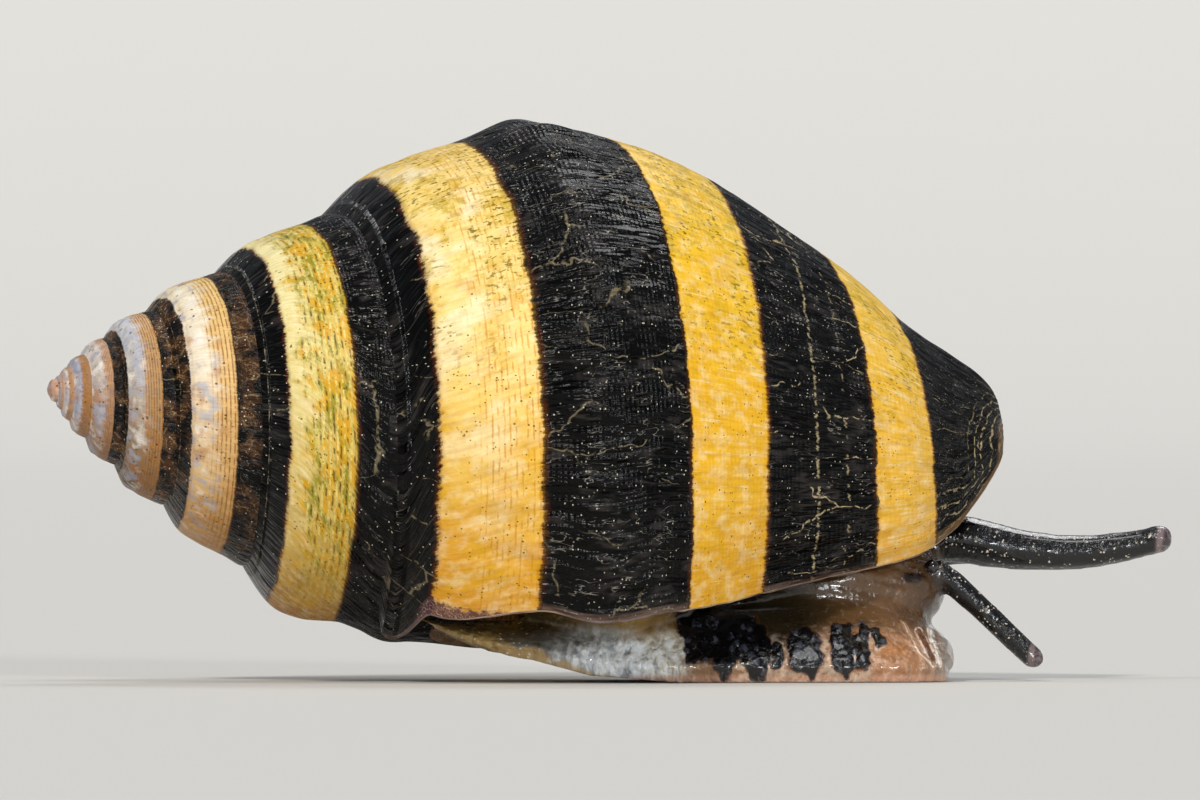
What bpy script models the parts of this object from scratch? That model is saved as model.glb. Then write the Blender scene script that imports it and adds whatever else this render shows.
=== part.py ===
"""A crawling striped snail: a dextral whelk shell, its foot, head, siphon, tentacles and eyes.

The snail heads along +X on a floor at z = 0. Its right side faces -Y.
"""

import math

import bmesh
import bpy
import numpy as np
from mathutils import Matrix, Vector

MM = 0.001

# The shell grows by GROWTH at each turn about its axis. Lengths are in millimetres.
GROWTH = 1.523
APEX = (-10.53, -1.493, 5.50)
APEX_LEAD = 0.92  # how far the early whorls are pushed back along the axis
APEX_FADE = 1.15  # the distance over which that fades near the apex
AXIS_DIP = math.radians(4.7)
AXIS_YAW = math.radians(12.7)
TURN_STEPS = 36
FIRST_TURN = -5.6
LIP_TURN = 0.344  # the outer lip, in turns past the top of the shell
LIP_CALLUS = ((0.055, 0.6), (0.035, 2.6))  # turns further on at the suture, fading over a length
LIP_DRIFT = 0.009  # how much earlier it ends along the shell's front half
DRIFT_FROM = (8.5, 2.0)
LIP_CORNER = 0.15  # and at the rounded corner by the anterior end
CORNER_START = 17.4

# Profile of the body whorl at the top of the shell: distance along the axis, radius.
SUTURE = (6.013, 3.72)
NEXT_SUTURE = SUTURE[0] * GROWTH
PROFILE = (
    SUTURE,
    (6.22, 4.00),
    (6.60, 4.43),
    (7.43, 4.92),
    (8.30, 5.28),
    (NEXT_SUTURE, SUTURE[1] * GROWTH),
    (10.20, 5.68),
    (11.30, 5.52),
    (12.60, 5.14),
    (14.10, 4.40),
    (15.72, 3.49),
    (16.97, 2.62),
    (18.00, 2.10),
    (19.08, 1.58),
)
SPIRE_STEPS = 6  # profile steps from a suture to the next
BASE_STEPS = 15  # profile steps from there to the anterior end
NECK_PINCH = 0.42  # how much slimmer the base is round the columella
NECK_SHORT = 0.6  # how much further back the columella ends
BELLY_FLAT = 0.11  # how much flatter the last whorl is over the foot
# Each pair is where an effect sets in and the length over which it does, along the profile
HOLD_BODY = (NEXT_SUTURE, 4.4)
HOLD_END = (15.8, 3.2)
PINCH_FROM = (13.0, 5.0)
BELLY_FROM = (6.8, 2.2)
SHORT_FROM = (15.0, 4.0)
# or round the shell, in turns.
BELLY_TURNS = (-0.74, 0.18)
BELLY_END_TURNS = (0.2, 0.2)
NECK_TURNS = 0.45
WALL = 0.36  # thickness of the shell at its lip
RECESS_TURN = 0.26  # how deep the aperture is open
CORE_TURN = 0.2  # the last whorl short of the aperture, which the body is hollowed by
APERTURE_TURNS = (RECESS_TURN, 0.30, 0.34, 0.38, 0.42, 0.47)
SLICES = (  # nodes along the shell, each from here along the axis to the next
    ("shell_apex", -1.0),
    ("shell_spire_upper", 0.80),
    ("shell_spire_middle", 1.70),
    ("shell_spire_lower", 3.05),
    ("shell_body_whorl", 5.10),
)
LIP_CUT_TURN = 0.318
CUT = 0.05  # thin cut between neighbouring nodes
FLESH_GAP = 0.07

# Foot sections: x, centre y, half width, sole height, top height, half width of the top.
FOOT = (
    (-3.66, -2.42, 0.14, 1.06, 1.20, 0.06),
    (-3.25, -2.10, 0.60, 0.62, 1.20, 0.14),
    (-2.70, -1.55, 1.20, 0.30, 1.18, 0.45),
    (-2.10, -1.10, 1.70, 0.00, 1.16, 0.85),
    (-1.80, -0.90, 1.95, 0.00, 1.16, 1.10),
    (-0.60, -0.58, 2.40, 0.00, 1.20, 1.55),
    (0.80, -0.35, 2.64, 0.00, 1.26, 1.75),
    (2.40, -0.20, 2.72, 0.00, 1.36, 1.75),
    (4.00, 0.00, 2.76, 0.00, 1.46, 1.60),
    (5.20, 0.20, 2.80, 0.00, 1.40, 1.45),
    (5.95, 0.28, 2.55, 0.00, 1.10, 1.30),
    (6.30, 0.32, 2.15, 0.05, 0.85, 1.10),
    (6.42, 0.32, 1.70, 0.22, 0.62, 0.80),
)
TAIL_END = -1.7
TAIL_TOP = 1.165
SOLE_END = 4.3
HEAD_FLOOR = 1.14
HEAD_BACK = 2.9

HEAD = (5.40, 0.55, 1.80)
HEAD_RADII = (0.92, 1.42, 0.90)
NECK = (3.60, 0.10, 1.75)
NECK_RADII = (2.50, 1.60, 1.25)
EYES = (("eye_right", (6.02, -0.42, 2.16)), ("eye_left", (5.98, 1.56, 1.98)))
EYE_RADIUS = 0.16
OPERCULUM = (-2.35, -1.45, 0.85)
OPERCULUM_RADII = (1.10, 0.70, 0.55)
PLATE = 0.18  # thickness of the operculum

# Tubes: x, y, z, radius.
SIPHON = (
    (5.85, 1.40, 2.52, 0.36),
    (6.25, 1.42, 2.66, 0.44),
    (6.70, 1.44, 2.66, 0.45),
    (7.15, 1.46, 2.56, 0.43),
    (7.75, 1.48, 2.46, 0.38),
    (8.45, 1.50, 2.41, 0.335),
    (9.10, 1.52, 2.43, 0.31),
    (9.70, 1.54, 2.52, 0.285),
    (10.10, 1.55, 2.60, 0.255),
    (10.25, 1.55, 2.64, 0.265),
    (10.40, 1.55, 2.68, 0.265),
    (10.52, 1.55, 2.71, 0.20),
    (10.58, 1.55, 2.72, 0.10),
)
TENTACLE_RIGHT = (
    (6.02, -0.14, 2.16, 0.27),
    (6.45, -0.17, 1.83, 0.28),
    (6.90, -0.20, 1.42, 0.26),
    (7.40, -0.22, 0.94, 0.25),
    (7.80, -0.24, 0.56, 0.25),
    (7.96, -0.24, 0.42, 0.25),
    (8.06, -0.24, 0.33, 0.18),
    (8.10, -0.24, 0.29, 0.09),
)
TENTACLE_LEFT = (
    (5.95, 1.95, 2.30, 0.27),
    (6.45, 2.10, 2.40, 0.27),
    (6.95, 2.22, 2.42, 0.26),
    (7.50, 2.32, 2.40, 0.25),
    (8.05, 2.40, 2.39, 0.25),
    (8.30, 2.43, 2.38, 0.25),
    (8.42, 2.45, 2.38, 0.18),
    (8.46, 2.45, 2.38, 0.09),
)
TUBES = (
    ("siphon", SIPHON),
    ("tentacle_right", TENTACLE_RIGHT),
    ("tentacle_left", TENTACLE_LEFT),
)

LOOKS = (  # name start, colour, roughness, coat
    ("shell_apex", ((0.55, 0.47, 0.42), 0.5, 0.1)),
    ("shell_outer_lip", ((0.62, 0.42, 0.22), 0.4, 0.2)),
    ("shell", ((0.80, 0.55, 0.16), 0.4, 0.3)),
    ("foot_front", ((0.60, 0.36, 0.20), 0.25, 0.6)),
    ("foot", ((0.42, 0.36, 0.28), 0.25, 0.6)),
    ("body", ((0.55, 0.42, 0.28), 0.3, 0.5)),
    ("head", ((0.45, 0.30, 0.18), 0.25, 0.6)),
    ("siphon", ((0.02, 0.02, 0.02), 0.2, 0.7)),
    ("tentacle", ((0.02, 0.02, 0.02), 0.2, 0.7)),
    ("eye", ((0.01, 0.01, 0.01), 0.1, 1.0)),
    ("operculum", ((0.20, 0.09, 0.03), 0.35, 0.3)),
)


def axis_frame():
    """Unit vectors along the shell's axis, up from it, and from it to the snail's right."""
    along = Vector((
        math.cos(AXIS_DIP) * math.cos(AXIS_YAW),
        math.sin(AXIS_YAW),
        -math.sin(AXIS_DIP) * math.cos(AXIS_YAW),
    ))
    up = Vector((0, 0, 1))
    up = (up - up.dot(along) * along).normalized()
    return along, up, along.cross(up)


ALONG, UP, RIGHT = axis_frame()


def on_shell(distance, radius, turn):
    """The point this far along the axis and from it, at an angle in turns from the top."""
    angle = 2 * math.pi * turn
    out = math.cos(angle) * UP + math.sin(angle) * RIGHT
    lead = APEX_LEAD * (1 - math.exp(-distance / APEX_FADE))
    return (Vector(APEX) + (distance - lead) * ALONG + radius * out) * MM


def smooth(value):
    value = min(max(value, 0.0), 1.0)
    return value * value * (3 - 2 * value)


def profile_points():
    """The body whorl's profile in even steps from the suture to the end, on a smooth curve."""
    knots = np.array(PROFILE)
    slopes = np.gradient(knots[:, 1], knots[:, 0])
    spire = np.linspace(SUTURE[0], NEXT_SUTURE, SPIRE_STEPS + 1)
    base = np.linspace(NEXT_SUTURE, PROFILE[-1][0], BASE_STEPS + 1)[1:]
    points = []
    for distance in np.concatenate([spire, base]):
        k = min(int(np.searchsorted(knots[:, 0], distance, "right")) - 1, len(knots) - 2)
        span = knots[k + 1, 0] - knots[k, 0]
        t = (distance - knots[k, 0]) / span
        radius = (
            (1 + 2 * t) * (1 - t) ** 2 * knots[k, 1]
            + t * (1 - t) ** 2 * span * slopes[k]
            + t * t * (3 - 2 * t) * knots[k + 1, 1]
            + t * t * (t - 1) * span * slopes[k + 1]
        )
        points.append((float(distance), float(radius)))
    return points


PROFILE_POINTS = profile_points()


def rise(value, start, length):
    """0 up to the start, 1 from this length past it, and smooth between."""
    return smooth((value - start) / length)


def whorl_point(distance, radius, turn):
    """A profile point at this turn. The anterior end holds its size, with a slim neck behind."""
    hold = (rise(distance, *HOLD_BODY) + rise(distance, *HOLD_END)) / 2
    growth = GROWTH ** (turn * (1 - hold))
    pinch = NECK_PINCH * rise(distance, *PINCH_FROM) * rise(-turn, 0, NECK_TURNS)
    over_foot = rise(turn, *BELLY_TURNS) * rise(-turn, *BELLY_END_TURNS)
    flat = BELLY_FLAT * rise(distance, *BELLY_FROM) * over_foot
    short = NECK_SHORT * rise(distance, *SHORT_FROM) * rise(-turn, 0, NECK_TURNS)
    return distance * growth - short, radius * growth * (1 - pinch) * (1 - flat)


def lip_shift(distance):
    """How far the lip's edge leaves a straight line along the shell, in turns."""
    on = 0
    for turns, length in LIP_CALLUS:
        on += turns * (1 - rise(distance, SUTURE[0], length))
    drift = LIP_DRIFT * rise(distance, *DRIFT_FROM)
    corner = max(0.0, distance - CORNER_START) / (PROFILE[-1][0] - CORNER_START)
    return on - drift - LIP_CORNER * (1 - math.sqrt(max(0.0, 1 - corner * corner)))


def add_object(name, mesh, collection):
    made = bpy.data.objects.new(name, mesh)
    collection.objects.link(made)
    return made


def add_mesh(name, bm, collection):
    bmesh.ops.recalc_face_normals(bm, faces=bm.faces)
    mesh = bpy.data.meshes.new(name)
    bm.to_mesh(mesh)
    bm.free()
    return add_object(name, mesh, collection)


def add_shell(name, lip_turn, swell, collection):
    """A closed shell whose whorls share their sutures, with a step where the last one ends."""
    bm = bmesh.new()
    rows = round((lip_turn - FIRST_TURN) * TURN_STEPS)
    open_row = rows - TURN_STEPS
    ends = len(PROFILE_POINTS) - 1
    spread = 0.3 * TURN_STEPS
    grid = {}
    for i in range(rows + 1):
        by_lip = smooth(1 - (rows - i) / spread)
        by_suture = smooth(1 - abs(i - open_row) / spread)
        for j in range(ends + 1 if i >= open_row else SPIRE_STEPS):
            distance, radius = PROFILE_POINTS[j]
            turn = lip_turn - (rows - i) / TURN_STEPS + by_lip * lip_shift(distance)
            apart = smooth(abs(distance - NEXT_SUTURE) / 2.6)
            turn += by_suture * (1 - apart) * lip_shift(SUTURE[0])
            place, reach = whorl_point(distance, radius, turn)
            grid[i, j] = bm.verts.new(on_shell(place, reach + swell, turn))
    bm.verts.remove(grid[open_row, SPIRE_STEPS])
    for i in range(open_row + 1):
        grid[i, SPIRE_STEPS] = grid[i + TURN_STEPS, 0]
    for i in range(rows):
        for j in range(ends if i >= open_row else SPIRE_STEPS):
            bm.faces.new((grid[i, j], grid[i + 1, j], grid[i + 1, j + 1], grid[i, j + 1]))
    start = [grid[i, 0] for i in range(TURN_STEPS + 1)]
    start += [grid[0, j] for j in range(SPIRE_STEPS - 1, 0, -1)]
    add_fan(bm, start, (Vector(APEX) - 0.07 * ALONG) * MM)
    end = [grid[i, ends] for i in range(open_row, rows + 1)]
    add_fan(bm, end, on_shell(PROFILE[-1][0] - 0.1, 0, 0))
    lip = [grid[rows, j] for j in range(ends + 1)]
    inner = [grid[open_row, j] for j in range(SPIRE_STEPS, ends + 1)]
    add_step(bm, lip, inner)
    return add_mesh(name, bm, collection)


def add_fan(bm, loop, centre):
    tip = bm.verts.new(centre)
    for a, b in zip(loop, loop[1:] + loop[:1]):
        bm.faces.new((a, b, tip))


def add_step(bm, lip, inner):
    """The flat from the lip's edge in to the last whorl, between rows that start at one point."""
    a, b = 0, 0
    while a < len(lip) - 1 or b < len(inner) - 1:
        if b == len(inner) - 1 or (a + 1) / (len(lip) - 1) <= (b + 1) / (len(inner) - 1):
            corners = (lip[a], lip[a + 1], inner[b])
            a += 1
        else:
            corners = (lip[a], inner[b + 1], inner[b])
            b += 1
        if len(set(corners)) == 3:
            bm.faces.new(corners)


def aperture_section(turn, inset, clear, past):
    """A section of the aperture: inside the outer wall by inset, outside the last whorl by clear."""
    outer = np.array([whorl_point(d, r, turn) for d, r in PROFILE_POINTS])
    inner = np.array([whorl_point(d, r, turn - 1) for d, r in PROFILE_POINTS])
    steps = np.linspace(outer[0, 0] + 0.45 + clear, outer[-1, 0] + past, 13).tolist()
    lower = [(d, float(np.interp(d, inner[:, 0], inner[:, 1])) + clear) for d in steps]
    upper = []
    for distance, low in lower:
        high = float(np.interp(distance, outer[:, 0], outer[:, 1])) - inset
        upper.append((distance, max(high, low + 0.02)))
    return upper + lower[::-1]


def add_loft(name, rings, collection):
    """A closed solid through rings of as many points each."""
    bm = bmesh.new()
    loops = [[bm.verts.new(point) for point in ring] for ring in rings]
    for one, two in zip(loops, loops[1:]):
        for k in range(len(one)):
            n = (k + 1) % len(one)
            bm.faces.new((one[k], one[n], two[n], two[k]))
    bm.faces.new(loops[0])
    bm.faces.new(loops[-1])
    return add_mesh(name, bm, collection)


def add_aperture(name, turns, insets, clear, past, collection):
    rings = []
    for turn, inset in zip(turns, insets):
        section = aperture_section(turn, inset, clear, past)
        rings.append([on_shell(d, r, turn) for d, r in section])
    return add_loft(name, rings, collection)


def foot_section(x, y, half, sole, top, half_top):
    """Half of a foot section, from the sole's middle round its margin to the top's middle."""
    edge = sole + min(0.30, 0.45 * (top - sole))
    right = (
        (0.80, sole),
        (0.95, sole + 0.07),
        (1.00, edge),
        (0.93, edge + 0.2 * (top - edge)),
    )
    ring = [(half * k, z) for k, z in right]
    ring.append(((half + half_top) / 2 * 0.96, edge + 0.62 * (top - edge)))
    ring.append((half_top, top))
    left = [(-across, z) for across, z in reversed(ring)]
    return [Vector((x, y + across, z)) * MM for across, z in ring + left]


def add_tube(name, points, grow, collection):
    """A tube with filled caps through points that carry their own radius, made a mesh."""
    curve = bpy.data.curves.new(name, "CURVE")
    curve.dimensions = "3D"
    curve.bevel_depth = MM
    curve.bevel_resolution = 2
    curve.use_fill_caps = True
    spline = curve.splines.new("POLY")
    spline.points.add(len(points) - 1)
    for point, (x, y, z, radius) in zip(spline.points, points):
        point.co = (x * MM, y * MM, z * MM, 1)
        point.radius = radius + grow
    tube = add_object(name, curve, collection)
    bpy.context.view_layer.update()
    graph = bpy.context.evaluated_depsgraph_get()
    mesh = bpy.data.meshes.new_from_object(tube.evaluated_get(graph))
    bm = bmesh.new()
    bm.from_mesh(mesh)
    bmesh.ops.remove_doubles(bm, verts=bm.verts, dist=0.005 * MM)
    bm.to_mesh(mesh)
    bm.free()
    bpy.data.objects.remove(tube)
    bpy.data.curves.remove(curve)
    return add_object(name, mesh, collection)


def add_ball(name, centre, radii, collection, segments=20):
    bm = bmesh.new()
    bmesh.ops.create_uvsphere(bm, u_segments=segments, v_segments=segments // 2, radius=MM)
    bmesh.ops.scale(bm, vec=radii, verts=bm.verts)
    bmesh.ops.translate(bm, vec=Vector(centre) * MM, verts=bm.verts)
    return add_mesh(name, bm, collection)


def add_box(name, low, high, collection):
    bm = bmesh.new()
    bmesh.ops.create_cube(bm, size=1)
    size = [b - a for a, b in zip(low, high)]
    bmesh.ops.scale(bm, vec=Vector(size) * MM, verts=bm.verts)
    middle = [(a + b) / 2 for a, b in zip(low, high)]
    bmesh.ops.translate(bm, vec=Vector(middle) * MM, verts=bm.verts)
    return add_mesh(name, bm, collection)


def boolean(target, cutter, operation="DIFFERENCE"):
    modifier = target.modifiers.new(cutter.name, "BOOLEAN")
    modifier.operation = operation
    modifier.object = cutter


def settle(target):
    """Replaces the object's mesh by what its modifiers make of it."""
    bpy.context.view_layer.update()
    graph = bpy.context.evaluated_depsgraph_get()
    mesh = bpy.data.meshes.new_from_object(target.evaluated_get(graph))
    target.modifiers.clear()
    target.data = mesh


def add_slab(name, start, stop, collection):
    """A box across the shell's axis from start to stop along it."""
    size = 16
    slab = add_box(name, (start, -size, -size), (stop, size, size), collection)
    turned = Matrix((ALONG, UP, RIGHT)).transposed().to_4x4()
    turned.translation = Vector(APEX) * MM
    slab.data.transform(turned)
    return slab


def add_shell_nodes(parts, cutters):
    whole = add_shell("shell_whole", LIP_TURN, 0, cutters)
    insets = [WALL] * len(APERTURE_TURNS)
    boolean(whole, add_aperture("aperture", APERTURE_TURNS, insets, 0.04, 0.5, cutters))
    notch = on_shell(PROFILE[-1][0] + 0.1, 0.55, 0.42) / MM
    boolean(whole, add_ball("notch", notch, (1.3, 0.75, 0.75), cutters))
    settle(whole)
    rim = (LIP_CUT_TURN, 0.36, 0.40, 0.44, 0.48)
    outside = [-2.0] * len(rim)
    around = add_aperture("lip_cut", rim, outside, 0.30, 0.5, cutters)
    rim = (LIP_CUT_TURN + CUT / 16,) + rim[1:]
    within = add_aperture("lip_piece", rim, outside, 0.30 + CUT, 0.45, cutters)
    stops = [start for _, start in SLICES[1:]] + [PROFILE[-1][0] + 1]
    for (name, start), stop in zip(SLICES, stops):
        node = add_object(name, whole.data.copy(), parts)
        boolean(node, add_slab(name + "_slab", start, stop - CUT, cutters), "INTERSECT")
        if name == "shell_body_whorl":
            boolean(node, around)
    lip = add_object("shell_outer_lip", whole.data.copy(), parts)
    boolean(lip, within, "INTERSECT")


def add_operculum(core, parts, cutters):
    """A thin horny plate on top of the tail, curved to the whorl above it. Returns its room."""
    plate = add_ball("operculum", OPERCULUM, OPERCULUM_RADII, parts)
    under = add_shell("plate_under", CORE_TURN, FLESH_GAP + PLATE, cutters)
    boolean(plate, under, "INTERSECT")
    boolean(plate, core)
    radii = [radius + CUT for radius in OPERCULUM_RADII]
    room = add_ball("plate_room", OPERCULUM, radii, cutters)
    around = add_shell("plate_around", CORE_TURN, FLESH_GAP + PLATE + CUT, cutters)
    boolean(room, around, "INTERSECT")
    settle(room)
    return room


def add_flesh_nodes(parts, cutters):
    """The soft body as one piece, parted by thin cuts into the foot's parts, the column and head."""
    whole = add_loft("flesh", [foot_section(*row) for row in FOOT], cutters)
    turns = (RECESS_TURN + 0.01, 0.30, 0.34, 0.38, 0.41)
    insets = (WALL + FLESH_GAP, WALL + 0.3, WALL + 0.9, WALL + 1.3, WALL + 1.5)
    boolean(whole, add_aperture("plug", turns, insets, 0.04 + FLESH_GAP, 0.1, cutters), "UNION")
    boolean(whole, add_ball("neck_ball", NECK, NECK_RADII, cutters), "UNION")
    boolean(whole, add_ball("head_ball", HEAD, HEAD_RADII, cutters), "UNION")
    settle(whole)
    core = add_shell("core", CORE_TURN, FLESH_GAP, cutters)
    boolean(whole, core)
    boolean(whole, add_operculum(core, parts, cutters))
    for name, points in TUBES:
        boolean(whole, add_tube(name + "_socket", points[:4], CUT, cutters))
    for name, centre in EYES:
        radii = [EYE_RADIUS + CUT] * 3
        boolean(whole, add_ball(name + "_socket", centre, radii, cutters, 12))
    settle(whole)
    far = 12
    boxes = (
        ("foot_tail", (-far, -far, -1), (TAIL_END, far, TAIL_TOP)),
        ("foot_sole", (TAIL_END + CUT, -far, -1), (SOLE_END, far, HEAD_FLOOR)),
        ("foot_front", (SOLE_END + CUT, -far, -1), (far, far, HEAD_FLOOR)),
        ("body_column", (TAIL_END + CUT, -far, HEAD_FLOOR + CUT), (HEAD_BACK, far, far)),
        ("head", (HEAD_BACK + CUT, -far, HEAD_FLOOR + CUT), (far, far, far)),
    )
    for name, low, high in boxes:
        node = add_object(name, whole.data.copy(), parts)
        boolean(node, add_box(name + "_box", low, high, cutters), "INTERSECT")


def add_material(name, colour, roughness, coat=0.0):
    material = bpy.data.materials.new(name)
    material.use_nodes = True
    shader = material.node_tree.nodes["Principled BSDF"]
    shader.inputs["Base Color"].default_value = (*colour, 1)
    shader.inputs["Metallic"].default_value = 0
    shader.inputs["Roughness"].default_value = roughness
    shader.inputs["Coat Weight"].default_value = coat
    return material


def finish(node):
    """Gives a part its own material and smooth shading on its rounded faces."""
    colour, roughness, coat = next(look for start, look in LOOKS if node.name.startswith(start))
    settle(node)
    node.data.materials.clear()
    node.data.materials.append(add_material(node.name, colour, roughness, coat))
    node.data.shade_smooth()
    node.data.set_sharp_from_angle(angle=math.radians(35))


def new_collection(name):
    made = bpy.data.collections.new(name)
    bpy.context.scene.collection.children.link(made)
    return made


def main():
    for old in list(bpy.data.objects):
        bpy.data.objects.remove(old)
    parts = new_collection("striped_snail")
    cutters = new_collection("cutters")
    add_shell_nodes(parts, cutters)
    add_flesh_nodes(parts, cutters)
    for name, points in TUBES:
        add_tube(name, points, 0, parts)
    for name, centre in EYES:
        add_ball(name, centre, [EYE_RADIUS] * 3, parts, 12)
    for node in parts.objects:
        finish(node)
    for cutter in cutters.objects:
        cutter.hide_render = True
        cutter.display_type = "WIRE"


main()
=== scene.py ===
import math

import bmesh
import bpy
import numpy as np
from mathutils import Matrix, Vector
from mathutils.bvhtree import BVHTree


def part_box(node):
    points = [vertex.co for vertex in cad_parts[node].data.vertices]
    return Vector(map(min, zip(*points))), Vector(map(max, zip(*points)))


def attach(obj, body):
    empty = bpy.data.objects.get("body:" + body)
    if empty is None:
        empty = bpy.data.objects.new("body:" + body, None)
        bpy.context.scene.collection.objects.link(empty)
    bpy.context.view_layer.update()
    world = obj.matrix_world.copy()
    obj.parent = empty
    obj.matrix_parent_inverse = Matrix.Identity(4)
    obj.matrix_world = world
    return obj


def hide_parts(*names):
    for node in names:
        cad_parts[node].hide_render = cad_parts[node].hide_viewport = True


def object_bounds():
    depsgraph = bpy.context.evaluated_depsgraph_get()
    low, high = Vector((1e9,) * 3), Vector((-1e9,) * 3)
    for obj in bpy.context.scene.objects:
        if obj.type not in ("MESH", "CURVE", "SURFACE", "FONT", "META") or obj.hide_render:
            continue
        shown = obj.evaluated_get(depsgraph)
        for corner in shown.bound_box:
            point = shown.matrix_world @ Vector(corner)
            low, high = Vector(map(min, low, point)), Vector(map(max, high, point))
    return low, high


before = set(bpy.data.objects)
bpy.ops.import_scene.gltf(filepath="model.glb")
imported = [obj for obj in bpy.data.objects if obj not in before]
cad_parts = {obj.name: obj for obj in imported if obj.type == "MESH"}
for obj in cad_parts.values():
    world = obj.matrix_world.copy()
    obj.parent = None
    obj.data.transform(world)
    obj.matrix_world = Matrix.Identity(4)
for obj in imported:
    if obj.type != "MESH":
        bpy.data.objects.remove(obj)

mm = 0.001
scene = bpy.context.scene
cadLow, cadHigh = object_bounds()
cadMiddle = (cadLow + cadHigh) / 2
print("frame loaded,", len(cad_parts), "nodes")


# camera, floor and lights

studio = dict(
    distance=400,             # mm from the snail to the camera
    frameWidth=22.62,         # mm across the picture
    aim=(-0.225, 0, 0.048),   # mm from the middle of the frame's box
    floorRadius=2.6,          # metres, with a rim that curves up all round
    floorRise=0.45,
    floorColour=(214, 212, 207),
    airColour=(226, 232, 242),
    airStrength=0.24,
    lamps=(                   # name, degrees round and up, strength, softness in degrees, colour
        ("keyLamp", -24, 38, 1.6, 7, (255, 250, 242)),
        ("frontLamp", 22, 13, 1.25, 10, (246, 250, 255)),
        ("topLamp", 20, 72, 0.75, 22, (255, 255, 255)),
        ("backLamp", 165, 50, 0.7, 24, (255, 255, 255)),
    ),
)


def linear(value):
    value = value / 255
    return value / 12.92 if value < 0.04045 else ((value + 0.055) / 1.055) ** 2.4


def tint(colour):
    return tuple(linear(part) for part in colour) + (1,)


def makeCamera():
    data = bpy.data.cameras.new("camera")
    data.sensor_width = 36
    data.lens = 36 * studio["distance"] / studio["frameWidth"]
    data.clip_start, data.clip_end = 0.01, 20
    camera = bpy.data.objects.new("camera", data)
    camera.location = cadMiddle + (Vector(studio["aim"]) - Vector((0, studio["distance"], 0))) * mm
    camera.rotation_euler = (math.pi / 2, 0, 0)
    scene.collection.objects.link(camera)
    scene.camera = camera


def makeLamps():
    for name, azimuth, height, strength, softness, colour in studio["lamps"]:
        data = bpy.data.lights.new(name, "SUN")
        data.energy = strength
        data.angle = math.radians(softness)
        data.color = tint(colour)[:3]
        lamp = bpy.data.objects.new(name, data)
        a, e = math.radians(azimuth), math.radians(height)
        towards = Vector((math.sin(a) * math.cos(e), -math.cos(a) * math.cos(e), math.sin(e)))
        lamp.rotation_euler = towards.to_track_quat("Z", "Y").to_euler()
        lamp.location = towards
        scene.collection.objects.link(lamp)
    world = bpy.data.worlds.new("studioAir")
    world.use_nodes = True
    air = world.node_tree.nodes["Background"]
    air.inputs["Color"].default_value = tint(studio["airColour"])
    air.inputs["Strength"].default_value = studio["airStrength"]
    scene.world = world
    scene.view_settings.view_transform = "Standard"


# small helpers for shader nodes, which go in the tree that startPaint opened last

def startPaint(name):
    global tree
    material = bpy.data.materials.new(name)
    material.use_nodes = True
    tree = material.node_tree
    return material, tree.nodes["Principled BSDF"]


def feed(socket, value):
    # a socket takes a link or a plain value
    if isinstance(value, bpy.types.NodeSocket):
        tree.links.new(value, socket)
    else:
        socket.default_value = value


def newNode(kind, *given, **settings):
    # a node with its settings, and its first sockets fed in turn
    node = tree.nodes.new("ShaderNode" + kind)
    for key, value in settings.items():
        setattr(node, key, value)
    for socket, value in zip(node.inputs, given):
        feed(socket, value)
    return node


def maths(operation, a, b=0, clamp=False):
    return newNode("Math", a, b, operation=operation, use_clamp=clamp).outputs[0]


def larger(a, b):
    return maths("MAXIMUM", a, b)


def opposite(value):
    return maths("SUBTRACT", 1, value)


def product(*values):
    result = values[0]
    for value in values[1:]:
        result = maths("MULTIPLY", result, value)
    return result


def total(*values):
    result = values[0]
    for value in values[1:]:
        result = maths("ADD", result, value)
    return result


def between(value, low, high, toLow=0, toHigh=1):
    # a smooth step of the value from low to high
    node = newNode("MapRange", value, low, high, toLow, toHigh, interpolation_type="SMOOTHSTEP")
    return node.outputs[0]


def band(value, low, high, soft, softHigh=None):
    # 1 between low and high, with soft edges
    softHigh = soft if softHigh is None else softHigh
    rising = between(value, low - soft / 2, low + soft / 2)
    return product(rising, between(value, high - softHigh / 2, high + softHigh / 2, 1, 0))


def blend(factor, a, b, mode="MIX"):
    node = newNode("Mix", factor, data_type="RGBA", blend_type=mode)
    for socket, colour in zip(node.inputs[6:8], (a, b)):
        feed(socket, colour if isinstance(colour, bpy.types.NodeSocket) else tint(colour))
    return node.outputs[2]


def over(base, colour, *masks, mode="MIX"):
    # the colour laid on the base as far as all the masks let it
    return blend(product(*masks), base, colour, mode)


def layered(base, hue, *layers):
    # layers from the bottom up: a colour or a name in hue, and the masks that place it
    for colour, *masks in layers:
        base = over(base, hue[colour] if isinstance(colour, str) else colour, *masks)
    return base


def ramp(value, low, high, stops):
    # colours at values from low to high
    node = newNode("ValToRGB", newNode("MapRange", value, low, high).outputs[0])
    points = node.color_ramp.elements
    for n, (at, colour) in enumerate(stops):
        point = points[n] if n < 2 else points.new(1)
        point.position = (at - low) / (high - low)
        point.color = tint(colour)
    return node.outputs[0]


def vector(x, y, z=0):
    return newNode("CombineXYZ", x, y, z).outputs[0]


def vectorMaths(operation, *given):
    return newNode("VectorMath", *given, operation=operation).outputs


def pushed(source, value):
    # coordinates moved by a value, so that what reads them bends
    return vectorMaths("ADD", source, value)[0]


def scaled(source, scale, shift=(0, 0, 0)):
    return newNode("Mapping", source, shift, (0, 0, 0), scale).outputs[0]


def grain(source, scale, detail=2, roughness=0.5, sides="3D"):
    node = newNode("TexNoise", source, 0, scale, detail, roughness, noise_dimensions=sides)
    return node.outputs[0]


def cells(source, scale, feature="F1", sides="3D"):
    node = newNode("TexVoronoi", source, 0, scale, voronoi_dimensions=sides, feature=feature)
    return node.outputs


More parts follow.
